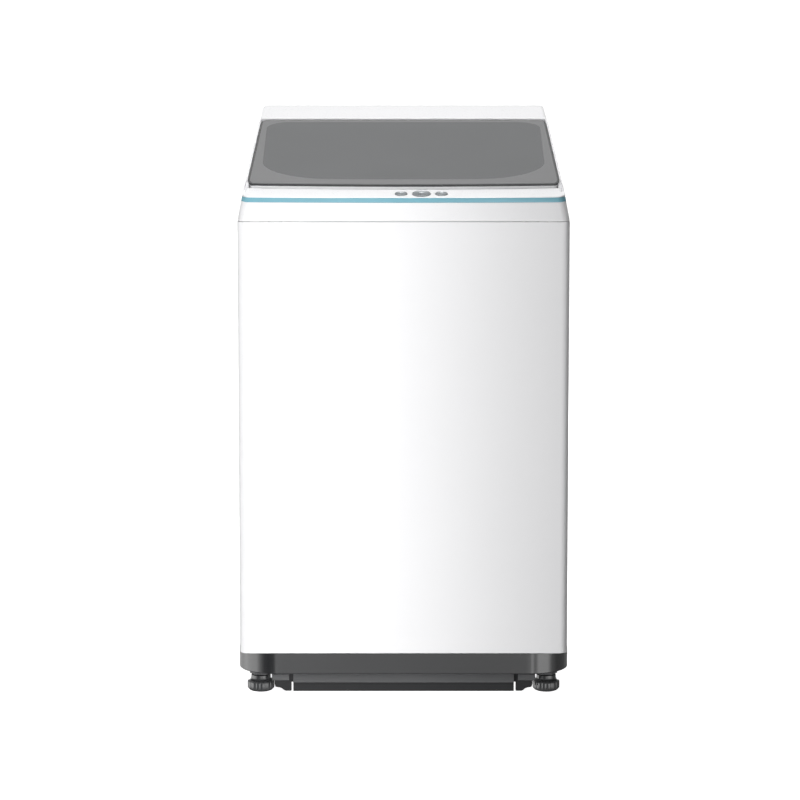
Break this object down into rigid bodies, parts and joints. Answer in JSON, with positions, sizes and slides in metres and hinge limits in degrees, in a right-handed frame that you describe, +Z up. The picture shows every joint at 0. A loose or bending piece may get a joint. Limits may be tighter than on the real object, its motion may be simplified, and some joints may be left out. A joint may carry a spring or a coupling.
{
  "type": "top load washing machine",
  "caption": "Free-standing washing machine, loaded from above through a sloping smoked glass lid, with a hanging tub, a spinning basket, a pulsator, and screw feet.",
  "frame": {"origin": "on the floor under the middle of the machine", "axes": "+Z up, front faces -Y, +X to the right as seen from the front"},
  "size_m": [0.55, 0.577, 0.938],
  "materials": {
    "white_steel": "smooth white coated steel",
    "zinc_steel": "zinc coated steel",
    "stainless": "bright stainless steel",
    "white_plastic": "glossy white plastic",
    "dark_plastic": "satin dark grey plastic",
    "black_rubber": "dark rubber",
    "grey_plastic": "matt grey plastic",
    "button_grey": "satin metallic grey plastic",
    "strip_blue": "clear light blue plastic",
    "smoked_glass": "smoked tempered glass",
    "tub_plastic": "matt off-white polypropylene",
    "ring_plastic": "pale blue-grey plastic",
    "cast_alloy": "bare cast alloy",
    "board_green": "circuit board lacquer",
    "valve_plastic": "blue moulded plastic"
  },
  "bodies": {
    "cabinet": {"cabinet_wrap": "white_steel", "rear_panel": "zinc_steel", "rear_panel_screws": "zinc_steel", "base_tray": "dark_plastic", "front_skirt": "dark_plastic", "bottom_shield": "zinc_steel", "foot_lock_nuts": "grey_plastic", "rear_feet": "black_rubber", "top_cover": "white_plastic", "control_panel": "white_plastic", "accent_strip": "strip_blue", "control_board": "board_green", "board_housing": "grey_plastic", "rear_console": "white_plastic", "inlet_valve": "valve_plastic", "detergent_housing": "white_plastic", "hinge_brackets": "white_plastic", "lid_buffers": "black_rubber", "lid_lock": "grey_plastic", "hanger_plates": "zinc_steel", "rod_seats": "grey_plastic", "suspension_rods": "zinc_steel", "rod_end_caps": "grey_plastic", "drain_spigot": "grey_plastic", "cord_gland": "black_rubber"},
    "lid": {"lid_glass": "smoked_glass", "lid_frame": "white_plastic", "lid_hinge_pins": "zinc_steel", "latch_hook": "grey_plastic"},
    "drawer": {"detergent_drawer": "white_plastic"},
    "power_key": {"power_button": "button_grey"},
    "program_key": {"program_button": "button_grey"},
    "start_key": {"start_button": "button_grey"},
    "left_foot": {"foot_front_left": "black_rubber"},
    "right_foot": {"foot_front_right": "black_rubber"},
    "tub": {"outer_tub": "tub_plastic", "tub_cover_ring": "tub_plastic", "tub_bracket": "zinc_steel", "bracket_bolts": "zinc_steel", "suspension_springs": "zinc_steel", "spring_cups": "grey_plastic", "gearbox_housing": "cast_alloy", "motor_stator": "cast_alloy", "drain_valve": "white_plastic", "drain_motor": "white_plastic", "air_chamber": "tub_plastic", "drive_belt": "black_rubber"},
    "basket": {"basket_shell": "stainless", "basket_base": "white_plastic", "balance_ring": "ring_plastic", "lint_filters": "white_plastic", "spin_tube": "zinc_steel"},
    "agitator": {"pulsator": "white_plastic", "pulsator_screw": "stainless", "drive_shaft": "zinc_steel"},
    "gear_input": {"gearbox_pulley": "cast_alloy"},
    "motor_rotor": {"motor_shaft": "zinc_steel", "motor_pulley": "cast_alloy"}
  },
  "joints": [
    {"name": "lid_hinge", "type": "hinge", "parent": "cabinet", "child": "lid", "pos_m": [0, 0.181, 0.91346], "axis": [-1, 0, 0], "range_deg": [0, 95]},
    {"name": "drawer_slide", "type": "slide", "parent": "cabinet", "child": "drawer", "axis": [0, -1, 0], "range_m": [0, 0.08]},
    {"name": "power_press", "type": "slide", "parent": "cabinet", "child": "power_key", "axis": [0, 0.2079, -0.9781], "range_m": [0, 0.001], "stiffness_N_per_m": 600},
    {"name": "program_press", "type": "slide", "parent": "cabinet", "child": "program_key", "axis": [0, 0.2079, -0.9781], "range_m": [0, 0.001], "stiffness_N_per_m": 600},
    {"name": "start_press", "type": "slide", "parent": "cabinet", "child": "start_key", "axis": [0, 0.2079, -0.9781], "range_m": [0, 0.001], "stiffness_N_per_m": 600},
    {"name": "left_foot_screw", "type": "slide", "parent": "cabinet", "child": "left_foot", "axis": [0, 0, -1], "range_m": [0, 0.012]},
    {"name": "right_foot_screw", "type": "slide", "parent": "cabinet", "child": "right_foot", "axis": [0, 0, -1], "range_m": [0, 0.012]},
    {"name": "tub_bounce", "type": "slide", "parent": "cabinet", "child": "tub", "axis": [0, 0, 1], "range_m": [-0.02, 0.01], "stiffness_N_per_m": 12000, "springref_m": 0.0308, "deforming": ["suspension_springs"]},
    {"name": "basket_spin", "type": "hinge", "parent": "tub", "child": "basket", "pos_m": [0, 0, 0.3], "axis": [0, 0, 1], "continuous": true},
    {"name": "pulsator_spin", "type": "hinge", "parent": "tub", "child": "agitator", "pos_m": [0, 0, 0.3], "axis": [0, 0, 1], "continuous": true},
    {"name": "pulley_spin", "type": "hinge", "parent": "tub", "child": "gear_input", "pos_m": [0, 0, 0.11], "axis": [0, 0, 1], "continuous": true},
    {"name": "motor_spin", "type": "hinge", "parent": "tub", "child": "motor_rotor", "pos_m": [0.15, 0, 0.11], "axis": [0, 0, 1], "continuous": true}
  ],
  "couplings": [
    {"joint": "pulley_spin", "follows": "motor_spin", "ratio": 0.33333},
    {"joint": "pulsator_spin", "follows": "motor_spin", "ratio": 0.064103}
  ]
}
